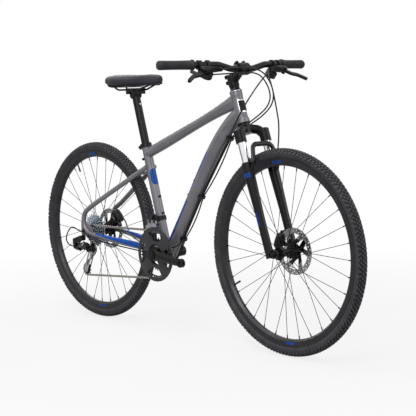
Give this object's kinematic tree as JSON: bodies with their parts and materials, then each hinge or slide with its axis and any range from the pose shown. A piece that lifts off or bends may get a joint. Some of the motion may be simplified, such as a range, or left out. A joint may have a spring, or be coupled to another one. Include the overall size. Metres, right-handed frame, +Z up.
{
  "type": "hybrid_bike",
  "caption": "Hybrid bike with sloping charcoal frame, suspension fork, disc brakes, riser bar, chain drive and derailleurs that shift; wheels, cranks and bars turn",
  "frame": {"origin": "On the ground under the middle of the bike, midway between the wheel axles", "axes": "+X forward, +Y to the rider's left, +Z up"},
  "size_m": [1.7503, 0.6768, 1.0005],
  "materials": {
    "frame_paint": "satin",
    "black_alloy": "satin",
    "bright_steel": "satin",
    "chrome": "polished",
    "chain_steel": "satin",
    "black_plastic": "matte",
    "grip_rubber": "matte",
    "tyre_rubber": "matte",
    "saddle_cover": "satin"
  },
  "bodies": {
    "frame": {"frame_front_triangle": "frame_paint", "frame_rear_triangle": "frame_paint", "seat_clamp": "black_alloy", "headset_cups": "bright_steel", "bottom_bracket_cups": "black_alloy", "cable_guides": "black_plastic", "rear_caliper": "black_alloy", "rear_axle": "bright_steel", "front_derailleur_clamp": "black_alloy", "chain": "chain_steel", "rear_brake_hose": "black_plastic", "shift_cables": "black_plastic", "rear_derailleur_knuckle": "black_alloy"},
    "seatpost": {"seatpost": "black_alloy"},
    "saddle": {"saddle_padding": "saddle_cover", "saddle_shell": "black_plastic", "saddle_rails": "bright_steel", "saddle_clamp": "black_alloy"},
    "steering": {"fork_crown": "black_alloy", "fork_stanchions": "chrome", "headset_spacers": "black_alloy", "stem": "black_alloy", "stem_faceplate": "black_alloy", "handlebar": "black_alloy", "grips": "grip_rubber", "brake_lever_brackets": "black_alloy", "shifter_pods": "black_plastic"},
    "fork_legs": {"fork_lowers": "black_alloy", "front_axle": "bright_steel", "front_caliper": "black_alloy", "front_brake_hose": "black_plastic"},
    "front_wheel": {"front_hub": "black_alloy", "front_spokes": "bright_steel", "front_rim": "black_alloy", "front_tyre": "tyre_rubber", "front_rotor": "bright_steel"},
    "rear_wheel": {"rear_hub": "black_alloy", "rear_spokes": "bright_steel", "rear_rim": "black_alloy", "rear_tyre": "tyre_rubber", "rear_rotor": "bright_steel"},
    "cassette": {"cassette": "bright_steel"},
    "crank": {"right_crank_arm": "black_alloy", "left_crank_arm": "black_alloy", "crank_spindle": "bright_steel", "large_chainring": "bright_steel", "small_chainring": "bright_steel", "chainring_guard": "black_plastic"},
    "right_brake_lever": {"right_brake_lever": "black_alloy"},
    "left_brake_lever": {"left_brake_lever": "black_alloy"},
    "right_shift_lever": {"right_shift_lever": "black_plastic"},
    "left_shift_lever": {"left_shift_lever": "black_plastic"},
    "front_derailleur_link": {"front_derailleur_link": "black_alloy"},
    "front_derailleur_cage": {"front_derailleur_cage": "bright_steel"},
    "rear_derailleur_outer_link": {"rear_derailleur_outer_link": "black_alloy"},
    "rear_derailleur_inner_link": {"rear_derailleur_inner_link": "black_alloy"},
    "rear_derailleur_cage_knuckle": {"rear_derailleur_cage_knuckle": "black_alloy"},
    "rear_derailleur_cage": {"rear_derailleur_cage": "bright_steel"},
    "guide_pulley": {"guide_pulley": "black_plastic"},
    "tension_pulley": {"tension_pulley": "black_plastic"}
  },
  "joints": [
    {"name": "seatpost_slide", "type": "slide", "parent": "frame", "child": "seatpost", "axis": [-0.274, 0, 0.9617], "range_m": [-0.1, 0.05]},
    {"name": "saddle_tilt", "type": "hinge", "parent": "seatpost", "child": "saddle", "pos_m": [-0.2649, 0, 0.88455], "axis": [0, 1, 0], "range_deg": [-12, 12]},
    {"name": "steering", "type": "hinge", "parent": "frame", "child": "steering", "pos_m": [0.33099, 0, 0.78176], "axis": [-0.3206, 0, 0.9472], "range_deg": [-60, 60], "deforming": ["rear_brake_hose", "shift_cables"]},
    {"name": "fork_travel", "type": "slide", "parent": "steering", "child": "fork_legs", "axis": [-0.3206, 0, 0.9472], "range_m": [0, 0.063], "stiffness_N_per_m": 9000, "springref_m": -0.012, "deforming": ["front_brake_hose"]},
    {"name": "front_wheel_spin", "type": "hinge", "parent": "fork_legs", "child": "front_wheel", "pos_m": [0.5243, 0, 0.351], "axis": [0, 1, 0], "continuous": true},
    {"name": "rear_wheel_spin", "type": "hinge", "parent": "frame", "child": "rear_wheel", "pos_m": [-0.5243, 0, 0.351], "axis": [0, 1, 0], "continuous": true},
    {"name": "crank_spin", "type": "hinge", "parent": "frame", "child": "crank", "pos_m": [-0.09695, 0, 0.295], "axis": [0, 1, 0], "continuous": true, "deforming": ["chain"]},
    {"name": "cassette_spin", "type": "hinge", "parent": "frame", "child": "cassette", "pos_m": [-0.5243, 0, 0.351], "axis": [0, 1, 0], "continuous": true},
    {"name": "guide_pulley_spin", "type": "hinge", "parent": "rear_derailleur_cage", "child": "guide_pulley", "pos_m": [-0.5, -0.056, 0.282], "axis": [0, 1, 0], "continuous": true},
    {"name": "tension_pulley_spin", "type": "hinge", "parent": "rear_derailleur_cage", "child": "tension_pulley", "pos_m": [-0.53938, -0.056, 0.19577], "axis": [0, 1, 0], "continuous": true},
    {"name": "right_brake_squeeze", "type": "hinge", "parent": "steering", "child": "right_brake_lever", "pos_m": [0.34001, -0.19165, 0.96169], "axis": [-0.5927, 0.1045, -0.7986], "range_deg": [0, 25], "stiffness_Nm_per_rad": 2, "springref_deg": -8.59},
    {"name": "left_brake_squeeze", "type": "hinge", "parent": "steering", "child": "left_brake_lever", "pos_m": [0.34001, 0.19165, 0.96169], "axis": [0.5927, 0.1045, 0.7986], "range_deg": [0, 25], "stiffness_Nm_per_rad": 2, "springref_deg": -8.59},
    {"name": "right_shift_push", "type": "hinge", "parent": "steering", "child": "right_shift_lever", "pos_m": [0.32121, -0.15077, 0.95595], "axis": [0.5927, -0.1045, 0.7986], "range_deg": [0, 25], "stiffness_Nm_per_rad": 0.4, "springref_deg": -8.59},
    {"name": "left_shift_push", "type": "hinge", "parent": "steering", "child": "left_shift_lever", "pos_m": [0.32121, 0.15077, 0.95595], "axis": [-0.5927, -0.1045, -0.7986], "range_deg": [0, 25], "stiffness_Nm_per_rad": 0.4, "springref_deg": -8.59},
    {"name": "front_derailleur_swing", "type": "hinge", "parent": "frame", "child": "front_derailleur_link", "pos_m": [-0.13313, -0.04, 0.438], "axis": [1, 0, 0], "range_deg": [0, 19.5], "stiffness_Nm_per_rad": 1, "springref_deg": -17.19, "deforming": ["chain", "shift_cables"]},
    {"name": "front_derailleur_guide", "type": "hinge", "parent": "front_derailleur_link", "child": "front_derailleur_cage", "pos_m": [-0.13313, -0.05, 0.416], "axis": [1, 0, 0], "range_deg": [-19.6, 0.1]},
    {"name": "rear_derailleur_shift", "type": "hinge", "parent": "frame", "child": "rear_derailleur_outer_link", "pos_m": [-0.5648, -0.0783, 0.28992], "axis": [0, 0.6157, 0.788], "range_deg": [0, 51], "stiffness_Nm_per_rad": 1, "springref_deg": -17.19, "deforming": ["chain", "shift_cables"]},
    {"name": "rear_derailleur_inner", "type": "hinge", "parent": "frame", "child": "rear_derailleur_inner_link", "pos_m": [-0.5648, -0.0657, 0.28008], "axis": [0, 0.6157, 0.788], "range_deg": [-0.1, 51.1]},
    {"name": "rear_derailleur_level", "type": "hinge", "parent": "rear_derailleur_outer_link", "child": "rear_derailleur_cage_knuckle", "pos_m": [-0.51725, -0.09048, 0.29944], "axis": [0, 0.6157, 0.788], "range_deg": [-51.1, 0.1]},
    {"name": "cage_tension", "type": "hinge", "parent": "rear_derailleur_cage_knuckle", "child": "rear_derailleur_cage", "pos_m": [-0.5, -0.056, 0.282], "axis": [0, 1, 0], "range_deg": [-45, 15], "stiffness_Nm_per_rad": 1.5, "deforming": ["chain"]}
  ],
  "couplings": [
    {"joint": "cassette_spin", "follows": "crank_spin", "ratio": 4},
    {"joint": "guide_pulley_spin", "follows": "crank_spin", "ratio": -4},
    {"joint": "tension_pulley_spin", "follows": "crank_spin", "ratio": 4},
    {"joint": "front_derailleur_guide", "follows": "front_derailleur_swing", "ratio": -1},
    {"joint": "rear_derailleur_inner", "follows": "rear_derailleur_shift", "ratio": 1},
    {"joint": "rear_derailleur_level", "follows": "rear_derailleur_shift", "ratio": -1}
  ]
}
